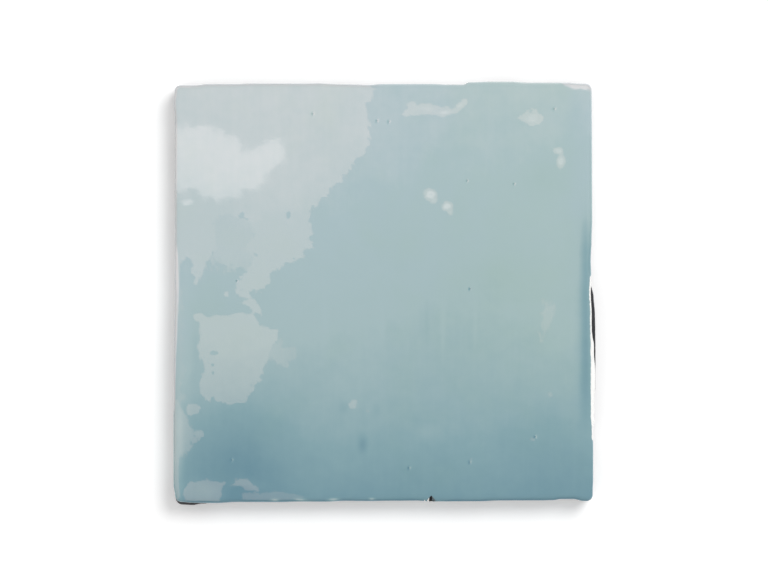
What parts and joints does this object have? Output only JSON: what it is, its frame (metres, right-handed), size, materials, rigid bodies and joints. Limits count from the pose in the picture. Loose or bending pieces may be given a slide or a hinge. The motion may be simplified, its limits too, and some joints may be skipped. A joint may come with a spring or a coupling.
{
  "type": "wall tile",
  "caption": "Square glazed ceramic wall tile with wavy hand-finished edges, a gently uneven gloss face and a grooved back for adhesive.",
  "frame": {"origin": "on the floor under the middle of the tile's outline, in the plane of its back", "axes": "+X to the right edge and +Y to the top edge of the glazed face, +Z out of the glazed face"},
  "size_m": [0.1318, 0.1322, 0.0102],
  "materials": {
    "glazed_clay": "glossy pale aqua glaze over a white slip on a dark fired clay body"
  },
  "bodies": {
    "root": {"tile": "glazed_clay"}
  },
  "joints": []
}
